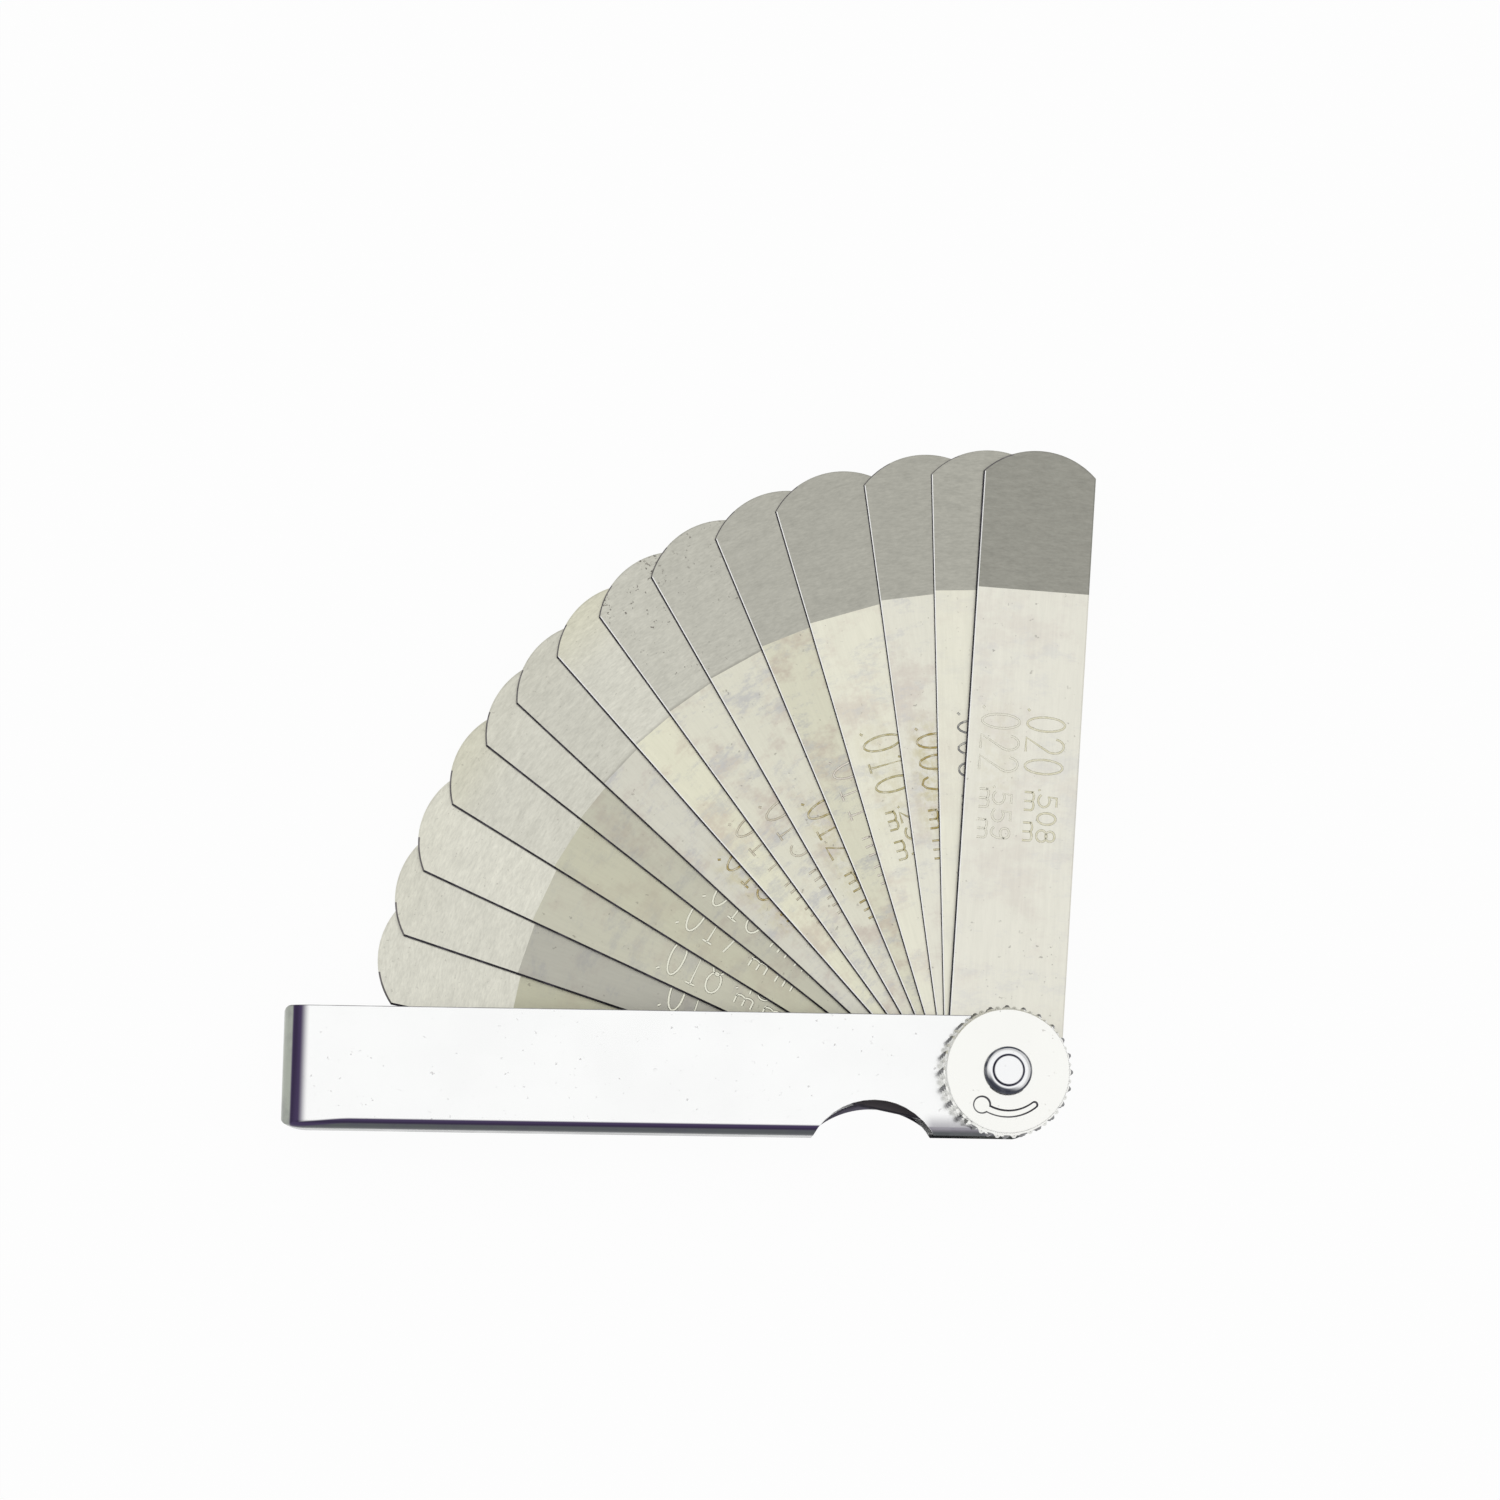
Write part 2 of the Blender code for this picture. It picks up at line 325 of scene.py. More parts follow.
bladeForm = {
    "width": 12.7 * mm,
    "reach": 70.4 * mm,
    "tipRadius": 8.8 * mm,
    "bore": 2.45 * mm,
    "groundFrom": 54.3 * mm,
    # widths of the chamfer that carries the painted contact shadow, back blade to front blade
    "edgeBack": 0.21 * mm,
    "edgeFront": 0.085 * mm,
    "edgeTop": 0.15 * mm,
    "arcSide": 3.2 * mm,
    # width of the painted glint, and the first blade that has it
    "glint": 0.10 * mm,
    "glintFrom": 7,
    "edgeDrop": 0.05 * mm,
    "upright": 0.5,
    "closedDeg": 180.0,
    "tipSteps": 40,
    "heelSteps": 24,
    "boreSteps": 24,
}

# The blade's materials in their order
shankFace, tipFace, shadowEdge, greyEdge, brightEdge = range(5)

# Tones run from the back blade to the front one; places on a blade are in its UV units
bladeFinish = {
    "shankColour": (0.805, 0.79, 0.685),
    "tipColour": (0.70, 0.69, 0.605),
    # each blade's own tone with painted sheen, lighter or darker by where the blade lies in the fan
    "shankToneAndSheen": (0.68, 0.59, 0.72, 0.72, 0.69, 0.84, 0.97, 0.92, 0.92, 0.88, 1.01, 0.98, 1.02, 1.01),
    "shankCasts": (0.88, 1.0, 0.94, 0.90, 0.94, 1.0, 0.92, 0.97, 0.97, 0.92, 0.97, 1.0, 0.98, 1.02),
    "tipToneAndSheen": (1.03, 1.01, 1.06, 0.97, 0.96, 0.91, 1.0, 0.86, 0.78, 0.68, 0.63, 0.62, 0.63, 0.48),
    "shankMetal": {"roughness": 0.32, "anisotropy": 0.75, "turn": 0.25},
    "tipMetal": {"roughness": 0.33, "anisotropy": 0.85},
    "shankBrush": {"Stretch": (0.35, 3.6, 1.0), "Contrast": 0.09},
    "tipBrush": {"Stretch": (5.2, 1.5, 1.0), "Contrast": 0.30},
    "shankBump": 0.12,
    "tipBump": 0.15,
    "bumpHeight": 0.01 * mm,
    "patternStep": (3.7, 5.3, 0.9),
    # painted shade on the heels of the back blades, inside the case
    "heelShadeColour": (0.07, 0.06, 0.075),
    "heelShadeBlades": 2,
    "heelShadeReach": (2.2, 2.7),
    "heelShadeAmount": 0.95,
    "warmStain": (0.66, 0.59, 0.53),
    "coolStain": (0.62, 0.615, 0.61),
    "labelStain": (0.60, 0.55, 0.345),
    "labelMiddle": (3.5, 0.28),
    "labelAlong": (0.35, 0.85),
    "labelAcross": (0.10, 0.32),
    "labelNoise": (7.0, 4.0, 0.7),
    "labelRamp": (0.40, 0.62),
    "pitColour": (0.14, 0.125, 0.11),
    "shankSpecks": {"Scale": 16.0, "Amount": 0.45},
    "pitScale": 27.0,
    "pitCrowd": 0.10,
    "crowdAlong": (5.9, 7.0),
    "tintColour": (0.69, 0.67, 0.51),
    "tintAlong": (6.3, 7.0),
    "limitBlades": (6, 9),
    "limitAlong": (5.43, 5.47),
    "limitAmount": 0.35,
    "edges": {
        # painted contact shadow where the edge lies on the next blade
        "bladeEdgeShadow": ((0.035, 0.032, 0.040), 2.2),
        "bladeArc": ((0.17, 0.16, 0.16), 1.5),
        # painted glint
        "bladeGlint": ((0.97, 0.97, 0.95), 1.0),
    },
    "edgeRoughness": 0.5,
    "edgeNoise": (6.0, 3.0, 0.6),
    "edgeRamp": (0.45, 0.7),
}

# What differs from blade to blade, back to front: stain, label stain, pits on the tip, yellow tip tint,
# how far the numbers sit in towards the pivot and from the leading edge, and their colour
paleMark = (0.78, 0.775, 0.65)
wearKeys = ("stain", "label", "pits", "tint", "slide", "feet", "mark")
wearRows = (
    (0.3, 0.0, 0.28, 0.0, 1.9 * mm, 2.0 * mm, paleMark),
    (0.5, 0.0, 0.28, 0.1, 2.4 * mm, 1.7 * mm, paleMark),
    (0.5, 0.0, 0.32, 0.1, 1.25 * mm, 1.2 * mm, paleMark),
    (0.4, 0.0, 0.28, 0.5, 1.3 * mm, 1.95 * mm, paleMark),
    (0.6, 0.0, 0.28, 0.1, 2.6 * mm, 1.7 * mm, paleMark),
    (0.8, 0.55, 0.28, 0.1, 1.6 * mm, 2.55 * mm, (0.40, 0.31, 0.12)),
    (0.8, 0.1, 0.32, 0.6, 0.0 * mm, 2.0 * mm, (0.55, 0.50, 0.39)),
    (0.9, 0.1, 0.90, 0.0, 1.0 * mm, 2.0 * mm, (0.55, 0.50, 0.40)),
    (0.9, 0.45, 0.60, 0.0, 3.8 * mm, 2.0 * mm, (0.41, 0.34, 0.16)),
    (1.0, 0.0, 0.10, 0.0, 1.5 * mm, 2.0 * mm, (0.63, 0.58, 0.51)),
    (0.6, 0.3, 0.10, 0.0, 0.1 * mm, 2.0 * mm, (0.46, 0.41, 0.22)),
    (0.6, 0.7, 0.10, 0.0, 1.4 * mm, 2.0 * mm, (0.38, 0.30, 0.11)),
    (0.2, 0.0, 0.05, 0.0, 0.45 * mm, 2.35 * mm, (0.22, 0.22, 0.22)),
    (0.3, 0.15, 0.05, 0.0, 0.0 * mm, 6.65 * mm, (0.68, 0.65, 0.49)),
)
bladeWear = [dict(zip(wearKeys, row)) for row in wearRows]

markForm = {
    "inchSize": (3.2 * mm, 4.25 * mm),
    "metricSize": (2.6 * mm, 2.05 * mm),
    "unitSize": (4.17 * mm, 1.7 * mm),
    "inchStart": 41.4 * mm,
    "metricStart": 32.33 * mm,
    "unitStart": 31.45 * mm,
    "printFeet": 1.6 * mm,
    "metricDrop": 1.75 * mm,
    "unitDrop": 0.2 * mm,
    "stroke": 0.125 * mm,
    "paleStroke": 0.15 * mm,
    "relief": 0.012 * mm,
    "advance": 0.75,
    "pointAdvance": 0.44,
    "unitAdvance": 0.82,
    "roughness": 0.25,
    "ghostColour": (0.75, 0.73, 0.63),
    "mottleNoise": (1500.0, 3.0, 0.6),
    "mottleRamp": (0.40, 0.70, 0.0, 0.55),
}


def bladeMetal(kind, number):
    # own is the blade's UV moved on, so that no two blades carry the same marks
    f = bladeFinish
    material, tree, shader = newMetal(f"blade{kind.capitalize()}{number:02d}", **f[kind + "Metal"])
    uv = addNode(tree, "ShaderNodeUVMap", uv_map="blade").outputs["UV"]
    step = tuple(number * part for part in f["patternStep"])
    own = vectorMaths(tree, "ADD", uv, step)["Vector"]
    tangent = addNode(tree, "ShaderNodeTangent", direction_type="UV_MAP", uv_map="blade")
    tree.links.new(tangent.outputs["Tangent"], shader["Tangent"])
    return material, uv, own


def brushBlade(kind, material, own, colour):
    # lays the brush lines over the finished colour
    f = bladeFinish
    tree = material.node_tree
    shader = tree.nodes["Principled BSDF"].inputs
    streaks = useGroup(tree, streakGroup, Vector=own, **f[kind + "Brush"])
    colour = mixColour(tree, 1.0, colour, streaks["Tone"], "MULTIPLY")
    tree.links.new(colour, shader["Base Color"])
    addBump(tree, shader, streaks["Height"], f[kind + "Bump"], f["bumpHeight"])


def shankMaterial(number, wear):
    # brushed along the blade, so the sheen spreads across it
    f = bladeFinish
    material, uv, own = bladeMetal("shank", number)
    tree = material.node_tree
    stains = useGroup(tree, stainGroup, Vector=own, Amount=wear["stain"])
    # the blade's own tone with painted sheen
    tones = f["shankToneAndSheen"][number - 1], f["shankCasts"][number - 1]
    colour = mixColour(tree, stains["Warm"], toned(f["shankColour"], *tones), toned(f["warmStain"], *tones))
    colour = mixColour(tree, stains["Cool"], colour, toned(f["coolStain"], *tones))
    if number <= f["heelShadeBlades"]:
        # painted shade on the heels that stay deep in the case, where the case shades them
        heelShade = ramp(tree, axesOf(tree, uv)["X"], *f["heelShadeReach"], f["heelShadeAmount"], 0.0)
        colour = mixColour(tree, heelShade, colour, rgb(f["heelShadeColour"]))
    if wear["label"]:
        colour = mixColour(tree, labelMask(tree, uv, wear), colour, rgb(f["labelStain"]))
    specks = useGroup(tree, speckGroup, Vector=own, **f["shankSpecks"])
    colour = mixColour(tree, specks["Mask"], colour, rgb(f["pitColour"]))
    brushBlade("shank", material, own, colour)
    return material


def labelMask(tree, uv, wear):
    # ragged patch of old oil round the stamped numbers
    f = bladeFinish
    place = axesOf(tree, uv)
    middle = (f["labelMiddle"][0] - wear["slide"] * uvPerMetre, f["labelMiddle"][1])
    near = []
    for axis, centre, fade in zip("XY", middle, (f["labelAlong"], f["labelAcross"])):
        off = maths(tree, "ABSOLUTE", maths(tree, "SUBTRACT", place[axis], centre))
        near.append(ramp(tree, off, *fade, 1.0, 0.0))
    ragged = ramp(tree, noise(tree, uv, *f["labelNoise"]), *f["labelRamp"])
    return product(tree, *near, ragged, wear["label"])


def tipMaterial(number, wear):
    # ground across the blade, so the sheen spreads along it
    f = bladeFinish
    material, uv, own = bladeMetal("tip", number)
    tree = material.node_tree
    along = axesOf(tree, uv)["X"]
    toTip = ramp(tree, along, *f["tintAlong"], 0.0, wear["tint"])
    # the blade's own tone with painted sheen
    tone = f["tipToneAndSheen"][number - 1]
    colour = mixColour(tree, toTip, toned(f["tipColour"], tone), toned(f["tintColour"], tone))
    first, last = f["limitBlades"]
    if first <= number <= last:
        # the wheel left a thin dark line where the grinding stops
        limit = ramp(tree, along, *f["limitAlong"], f["limitAmount"], 0.0)
        colour = mixColour(tree, limit, colour, rgb(f["pitColour"]))
    # pits crowd together near the very tip
    crowd = ramp(tree, along, *f["crowdAlong"], 0.0, f["pitCrowd"] * wear["pits"])
    pits = useGroup(tree, speckGroup, Vector=own, Scale=f["pitScale"], Amount=wear["pits"], Crowd=crowd)
    colour = mixColour(tree, pits["Mask"], colour, rgb(f["pitColour"]))
    brushBlade("tip", material, own, colour)
    return material


def edgeMaterial(name, colour, contrast):
    # an edge in patches of two tones; this carries the painted contact shadow and the painted glint
    f = bladeFinish
    material, tree, shader = newMetal(name, f["edgeRoughness"])
    uv = addNode(tree, "ShaderNodeUVMap", uv_map="blade").outputs["UV"]
    patches = ramp(tree, noise(tree, uv, *f["edgeNoise"]), *f["edgeRamp"])
    mixed = mixColour(tree, patches, rgb(colour), toned(colour, contrast))
    tree.links.new(mixed, shader["Base Color"])
    return material


def halfShank(side):
    # one half of the shank, split along the centre line so that the bore is part of its edge
    f = bladeForm
    half = f["width"] / 2
    heel = arcPoints((0, 0), half, side * half, 90, 180, f["heelSteps"])
    bore = arcPoints((0, 0), f["bore"], side * f["bore"], 180, 0, f["boreSteps"])
    return [(f["groundFrom"], 0), (f["groundFrom"], side * half), *heel, *bore]


def chamferBlade(bm, number, low, high):
    # shallow chamfer round the top face; the sheared side that lies on the next blade gets a painted contact
    # shadow, with a painted glint inside it on the front blades, and the tip is edged in grey
    f = bladeForm
    middle = (low + high) / 2
    half = f["width"] / 2
    arcFrom = f["reach"] - f["tipRadius"] + math.sqrt(f["tipRadius"] ** 2 - half ** 2)
    share = (number - 1) / (len(bladeWear) - 1)
    width = f["edgeTop"] if share == 1 else f["edgeBack"] + (f["edgeFront"] - f["edgeBack"]) * share
    tops = [face for face in bm.faces if face.normal.z > f["upright"]]
    even = {"use_boundary": True, "use_even_offset": True}
    rim = bmesh.ops.inset_region(bm, faces=tops, thickness=width, **even)["faces"]
    if number >= f["glintFrom"]:
        for face in bmesh.ops.inset_region(bm, faces=tops, thickness=f["glint"], **even)["faces"]:
            place = face.calc_center_median()
            face.material_index = tipFace if place.x > f["groundFrom"] else shankFace
            # painted glint just inside the painted contact shadow
            if place.y > half - width - f["glint"] and place.x > 0:
                face.material_index = brightEdge
    sides = [face for face in bm.faces if abs(face.normal.z) < f["upright"]]
    for vert in {v for face in sides for v in face.verts if v.co.z > middle}:
        vert.co.z -= f["edgeDrop"]
    for face in [*sides, *rim]:
        place = face.calc_center_median()
        face.material_index = tipFace if place.x > f["groundFrom"] else shankFace
        if place.x > arcFrom and place.y > f["arcSide"]:
            face.material_index = greyEdge
        # painted contact shadow on the sheared side
        elif place.y > half - width and place.x > 0:
            face.material_index = shadowEdge


def makeBlade(number, fanDeg, low, high, wear, edges):
    f = bladeForm
    half = f["width"] / 2
    spread = math.degrees(math.asin(half / f["tipRadius"]))
    tipCentre = (f["reach"] - f["tipRadius"], 0)
    arc = arcPoints(tipCentre, f["tipRadius"], f["tipRadius"], -spread, spread, f["tipSteps"])
    tip = [(f["groundFrom"], half), (f["groundFrom"], 0), (f["groundFrom"], -half), *arc]
    bm = bmesh.new()
    for outline, index in ((halfShank(1), shankFace), (halfShank(-1), shankFace), (tip, tipFace)):
        face = bm.faces.new([bm.verts.new((x, y, low)) for x, y in outline])
        face.material_index = index
    bmesh.ops.remove_doubles(bm, verts=bm.verts, dist=weldGap)
    raised = bmesh.ops.extrude_face_region(bm, geom=list(bm.faces))["geom"]
    lifted = [v for v in raised if isinstance(v, bmesh.types.BMVert)]
    bmesh.ops.translate(bm, verts=lifted, vec=(0, 0, high - low))
    bmesh.ops.recalc_face_normals(bm, faces=bm.faces)
    chamferBlade(bm, number, low, high)
    layer = bm.loops.layers.uv.new("blade")
    for face in bm.faces:
        for loop in face.loops:
            loop[layer].uv = (loop.vert.co.x * uvPerMetre, loop.vert.co.y * uvPerMetre)
    blade = newObject(f"blade_leaf_{number:02d}", bm)
    for metal in (shankMaterial(number, wear), tipMaterial(number, wear), *edges):
        blade.data.materials.append(metal)
    blade.data.transform(Matrix.Rotation(math.radians(fanDeg), 4, "Z"))
    seat(blade, f"blade_{number:02d}", "blade_steel", f"blade_{number:02d}")


def glyphStrokes(letter):
    # single-stroke engraving figures, one unit tall
    ring = arcPoints((0.25, 0.5), 0.25, 0.5, 0, 360, 18)
    lowRing = arcPoints((0.25, 0.28), 0.25, 0.28, 0, 360, 16)
    topRing = arcPoints((0.25, 0.75), 0.22, 0.25, 0, 360, 16)
    shapes = {
        "0": [ring],
        "1": [[(0.10, 0.80), (0.27, 1.0), (0.27, 0.0)], [(0.10, 0.0), (0.44, 0.0)]],
        "2": [[*arcPoints((0.25, 0.74), 0.25, 0.26, 170, -35, 10), (0.0, 0.0), (0.5, 0.0)]],
        "3": [[*arcPoints((0.24, 0.76), 0.24, 0.24, 150, -80, 10),
               *arcPoints((0.24, 0.27), 0.26, 0.27, 80, -150, 12)]],
        "4": [[(0.38, 0.0), (0.38, 1.0), (0.0, 0.3), (0.5, 0.3)]],
        "5": [[(0.47, 1.0), (0.08, 1.0), (0.05, 0.56),
               *arcPoints((0.22, 0.31), 0.28, 0.31, 125, -150, 14)]],
        "6": [lowRing, [(0.0, 0.28), (0.04, 0.60), (0.18, 0.88), (0.40, 1.0)]],
        "7": [[(0.0, 1.0), (0.5, 1.0), (0.18, 0.0)]],
        "8": [lowRing, topRing],
        "9": [topRing, [(0.47, 0.75), (0.46, 0.35), (0.38, 0.10), (0.24, 0.0),
                        (0.08, 0.05), (0.0, 0.18)]],
        ".": [[(0.18, 0.0), (0.26, 0.06)]],
        "m": [[(0.0, 0.0), (0.0, 0.62)],
              [(0.0, 0.45), *arcPoints((0.12, 0.46), 0.12, 0.16, 180, 0, 6), (0.24, 0.0)],
              [(0.24, 0.45), *arcPoints((0.36, 0.46), 0.12, 0.16, 180, 0, 6), (0.48, 0.0)]],
    }
    return shapes[letter]


def addText(curve, words, size, along, base):
    # figures read from the tip towards the pivot, with their feet towards the leading edge
    f = markForm
    advances = {".": f["pointAdvance"], "m": f["unitAdvance"]}
    reach = along
    for letter in words:
        for stroke in glyphStrokes(letter):
            spline = curve.splines.new("POLY")
            spline.points.add(len(stroke) - 1)
            for point, (x, y) in zip(spline.points, stroke):
                point.co = (reach - x * size[0], base - y * size[1], 0, 1)
        reach -= advances.get(letter, f["advance"]) * size[0]


def makeMark(name, number, fanDeg, top, thickness, feet, slide, colour, stroke):
    f = markForm
    base = bladeForm["width"] / 2 - feet
    inches = f"{thickness / inch:.3f}"[1:]
    metric = f"{thickness / mm:.3f}"[1:]
    curve = bpy.data.curves.new(name, "CURVE")
    curve.dimensions = "3D"
    addText(curve, inches, f["inchSize"], f["inchStart"] - slide, base)
    addText(curve, metric, f["metricSize"], f["metricStart"] - slide, base - f["metricDrop"])
    addText(curve, "mm", f["unitSize"], f["unitStart"] - slide, base - f["unitDrop"])
    curve.bevel_depth = stroke
    curve.bevel_resolution = 1
    curve.use_fill_caps = True
    holder = bpy.data.objects.new(name, curve)
    mesh = bpy.data.meshes.new_from_object(holder)
    bpy.data.objects.remove(holder)
    bpy.data.curves.remove(curve)
    mesh.transform(Matrix.Diagonal((1, 1, f["relief"] / stroke, 1)))
    mesh.transform(Matrix.Translation((0, 0, top)))
    mesh.transform(Matrix.Rotation(math.radians(fanDeg), 4, "Z"))
    mark = bpy.data.objects.new(name, mesh)
    bpy.context.scene.collection.objects.link(mark)
    mesh.materials.clear()
    mesh.materials.append(markMaterial(name, colour))
    seat(mark, f"blade_{number:02d}", "blade_steel")


def markMaterial(name, colour):
    # stamped strokes, worn thin in places
    f = markForm
    material, tree, shader = newMetal(name, f["roughness"])
    place = addNode(tree, "ShaderNodeTexCoord").outputs["Object"]
    mottle = ramp(tree, noise(tree, place, *f["mottleNoise"]), *f["mottleRamp"])
    tinted = mixColour(tree, mottle, rgb(colour), rgb(bladeFinish["shankColour"]))
    tree.links.new(tinted, shader["Base Color"])
    return material


def makeBlades():
    f = markForm
    swings = {joint["child"]: joint for joint in frame["joints"]}
    # a painted contact shadow, grey round the tip, and a painted glint
    edges = [edgeMaterial(name, *look) for name, look in bladeFinish["edges"].items()]
    thickness = []
    for number, wear in enumerate(bladeWear, 1):
        node = f"blade_{number:02d}"
        fanDeg = bladeForm["closedDeg"] - swings[node]["range_deg"][1]
        low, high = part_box(node)
        thickness.append(high.z - low.z)
        makeBlade(number, fanDeg, low.z, high.z, wear, edges)
        spot = (number, fanDeg, high.z)
        figures = (thickness[-1], wear["feet"], wear["slide"])
        stroke = f["paleStroke"] if wear["mark"] == paleMark else f["stroke"]
        makeMark(f"blade_number_{number:02d}", *spot, *figures, wear["mark"], stroke)
    # the front blade, the last one made, also shows a print of the back blade's numbers
    printed = (thickness[0], f["printFeet"], wear["slide"])
    makeMark("blade_print", *spot, *printed, f["ghostColour"], f["stroke"])
    print("blades made:", len(bladeWear))


# Case: one folded and plated sheet

caseFinish = {
    "colour": (0.965, 0.97, 0.965),
    "speckColour": (0.35, 0.34, 0.34),
    "speckAmount": 0.5,
    "roughness": 0.16,
    "edge": 0.14 * mm,
    "waveScale": 70.0,
    "wave": 0.35,
    "speckScale": 1900.0,
    # painted dark reflection on the spine and the end wall, a darker cut edge, and painted shade on the heel
    "spineColour": (0.10, 0.108, 0.112),
    "endColour": (0.38, 0.405, 0.355),
    "cutColour": (0.16, 0.155, 0.165),
    "heelColour": (0.36, 0.35, 0.38),
    "heelAcross": (-6.1 * mm, -4.3 * mm),
    "heelAlong": (-9.2 * mm, -7.6 * mm),
    # painted dark reflection along the bends
    "bendColour": (0.062, 0.045, 0.100),
    "spineBend": (-6.04 * mm, -5.84 * mm),
    "endBend": (-77.0 * mm, -75.9 * mm),
    "taper": (-77.5 * mm, -71.0 * mm),
    "taperDrop": 0.42 * mm,
    "spineFrom": 6.32 * mm,
    "endFrom": 77.72 * mm,
    "cutFrom": 6.25 * mm,
    "fade": 0.24 * mm,
    "cutFade": 0.06 * mm,
    "heelAmount": 0.85,
    "mottleNoise": (400.0, 4.0, 0.6),
    "mottleRamp": (0.25, 0.6, 0.75, 1.0),
}

caseForm = {
    "sheet": 0.60 * mm,
    "skin": 0.52 * mm,
    "cornerFrom": -76.4 * mm,
    "cornerLong": 2.6 * mm,
    "cornerRise": 0.60 * mm,
    "spineBend": 1.30 * mm,
    "bendSteps": 7,
    "notchPlace": -14.1 * mm,
    "notchRadius": 7.6 * mm,
    "notchDepth": 4.0 * mm,
    "lipHalf": 5.75 * mm,
    "lipDepth": 0.72 * mm,
    "lipSunk": 0.20 * mm,
    "lipInset": 0.02 * mm,
    "lipSteps": 32,
    "lipShade": (0.10, 0.092, 0.12),
    "lipShadeDepth": (0.4 * mm, 0.1 * mm),
}

# What the plated pieces have in common
plating = {
    "cloud": (110.0, 4.0, 0.6),
    "cloudRamp": (0.3, 0.7, 0.97, 1.0),
    "hazeRamp": (0.35, 0.7),
    "haze": (0.8, 1.35),
    "waveDetail": (1.0, 0.4),
    "waveHeight": 0.3 * mm,
}


def platedMaterial(name, f, shading):
    # bright plating: faint waves, tiny specks, slight clouding, and the piece's painted shade and dark zones
    p = plating
    material, tree, shader = newMetal(name, f["roughness"])
    place = addNode(tree, "ShaderNodeTexCoord").outputs["Object"]
    specks = useGroup(tree, speckGroup, Vector=place, Scale=f["speckScale"], Amount=f["speckAmount"])
    cloud = noise(tree, place, *p["cloud"])
    colour = mixColour(tree, specks["Mask"], rgb(f["colour"]), rgb(f["speckColour"]))
    colour = mixColour(tree, 1.0, colour, ramp(tree, cloud, *p["cloudRamp"]), "MULTIPLY")
    # painted shade and reflection from the piece's list
    for mask, shade in shading(tree, place):
        colour = mixColour(tree, mask, colour, rgb(shade))
    tree.links.new(colour, shader["Base Color"])
    clear, dull = (f["roughness"] * share for share in p["haze"])
    tree.links.new(ramp(tree, cloud, *p["hazeRamp"], clear, dull), shader["Roughness"])
    waves = noise(tree, place, f["waveScale"], *p["waveDetail"])
    addBump(tree, shader, waves, f["wave"], p["waveHeight"])
    return material


def outsideOfCase(tree, way):
    # one on the outer skin of the folded sheet, nothing on its inner faces
    f = caseForm
    low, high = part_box("case")
    half = (high.z - low.z) / 2
    offMiddle = maths(tree, "ABSOLUTE", maths(tree, "SUBTRACT", way["Z"], (low.z + high.z) / 2))
    # distance from the axis of the end bend, which also serves for the plates and the end wall
    past = maths(tree, "MAXIMUM", maths(tree, "SUBTRACT", f["cornerFrom"], way["X"]), 0.0)
    off = maths(tree, "MAXIMUM", maths(tree, "SUBTRACT", offMiddle, half - f["cornerLong"]), 0.0)
    reach = vectorMaths(tree, "LENGTH", joined(tree, past, off))["Value"]
    shell = ramp(tree, reach, f["cornerLong"] - f["sheet"], f["cornerLong"] - f["skin"])
    spine = ramp(tree, way["Y"], low.y + f["skin"], low.y + f["sheet"], 1.0, 0.0)
    return maths(tree, "MAXIMUM", shell, spine)


def caseShading(tree, place):
    # painted dark reflection on the spine and end wall, painted shade on the heel by the nut, darker cut
    # edge
    f = caseFinish
    way = axesOf(tree, place)
    outside = outsideOfCase(tree, way)
    mottle = ramp(tree, noise(tree, place, *f["mottleNoise"]), *f["mottleRamp"])
    # towards the end wall the spine's bend runs lower
    lower = ramp(tree, way["X"], *f["taper"], f["taperDrop"], 0.0)
    across = maths(tree, "ADD", way["Y"], lower)
    spine = ramp(tree, across, -f["spineFrom"] - f["fade"], -f["spineFrom"], 1.0, 0.0)
    end = ramp(tree, way["X"], -f["endFrom"] - f["fade"], -f["endFrom"], 1.0, 0.0)
    cut = ramp(tree, way["Y"], f["cutFrom"], f["cutFrom"] + f["cutFade"])
    # painted shade on the heel by the nut, darker towards the spine
    heelAcross = ramp(tree, way["Y"], *f["heelAcross"], f["heelAmount"], 0.0)
    heel = product(tree, heelAcross, ramp(tree, way["X"], *f["heelAlong"]))
    # painted dark reflection along the two bends, and none on the faces inside the case
    spineBend = ramp(tree, across, *f["spineBend"], 1.0, 0.0)
    endBend = ramp(tree, way["X"], *f["endBend"], 1.0, 0.0)
    bends = product(tree, maths(tree, "MAXIMUM", spineBend, endBend), outside)
    shades = [(bends, f["bendColour"])]
    shown = product(tree, mottle, outside)
    for zone, label in ((heel, "heel"), (spine, "spine"), (end, "end"), (cut, "cut")):
        shades.append((product(tree, zone, shown), f[label + "Colour"]))
    return shades


def easeCorner(case):
    # the fold draws the lower corner of the end wall in a little
    f = caseForm
    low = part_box("case")[0].y
    bm = bmesh.new()
    bm.from_mesh(case.data)
    for i in range(f["bendSteps"]):
        # cut where the end bend already has its edges, so that it stays smooth
        across = f["cornerFrom"] - f["cornerLong"] * math.sin(math.pi / 2 * i / f["bendSteps"])
        parts = [*bm.verts, *bm.edges, *bm.faces]
        plane = {"plane_co": (across, 0, 0), "plane_no": (1, 0, 0)}
        bmesh.ops.bisect_plane(bm, geom=parts, dist=weldGap, **plane)
    for vert in bm.verts:
        along = min(max((f["cornerFrom"] - vert.co.x) / f["cornerLong"], 0), 1)
        near = min(max((low + f["spineBend"] - vert.co.y) / f["spineBend"], 0), 1)
        vert.co.y += f["cornerRise"] * along ** 2 * near
    bm.to_mesh(case.data)
    bm.free()


def lipShading(tree, place):
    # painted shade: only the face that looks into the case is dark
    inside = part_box("case")[0].z + caseForm["sheet"]
    deep, shallow = caseForm["lipShadeDepth"]
    mask = ramp(tree, axesOf(tree, place)["Z"], inside - deep, inside - shallow)
    return [(mask, caseForm["lipShade"])]


